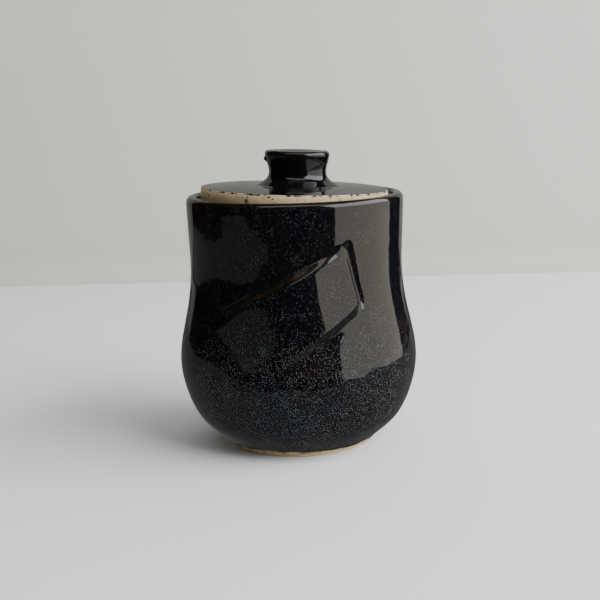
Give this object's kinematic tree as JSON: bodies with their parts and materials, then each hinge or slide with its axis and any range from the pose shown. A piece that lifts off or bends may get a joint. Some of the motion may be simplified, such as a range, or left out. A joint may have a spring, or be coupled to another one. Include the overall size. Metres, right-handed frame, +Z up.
{
  "type": "lidded sugar bowl",
  "caption": "Round thrown sugar bowl with a swelling belly, a raised diagonal relief on the front, and a flat lid with a flared knob resting on a ledge inside the rim.",
  "frame": {"origin": "middle of the foot, in the plane that the bowl stands on", "axes": "+Z up along the bowl's axis, -Y towards the side with the raised diagonal relief, +X to that side's right"},
  "size_m": [0.1, 0.1, 0.1222],
  "materials": {
    "stoneware": "bare fired buff clay with small dark iron specks, matt",
    "black_glaze": "glossy near-black glaze with fine pale micro-crystals, browner where it thins over an edge",
    "liner_glaze": "the same glossy black glaze, poured inside"
  },
  "bodies": {
    "jar": {"jar_body": "stoneware", "jar_outer_glaze": "black_glaze", "jar_liner_glaze": "liner_glaze"},
    "lid": {"lid_plate": "stoneware", "lid_knob": "stoneware", "lid_glaze": "black_glaze", "lid_underside_glaze": "liner_glaze"}
  },
  "joints": [
    {"name": "lid_lift", "type": "slide", "parent": "jar", "child": "lid", "axis": [0, 0, 1], "range_m": [0, 0.06]}
  ]
}
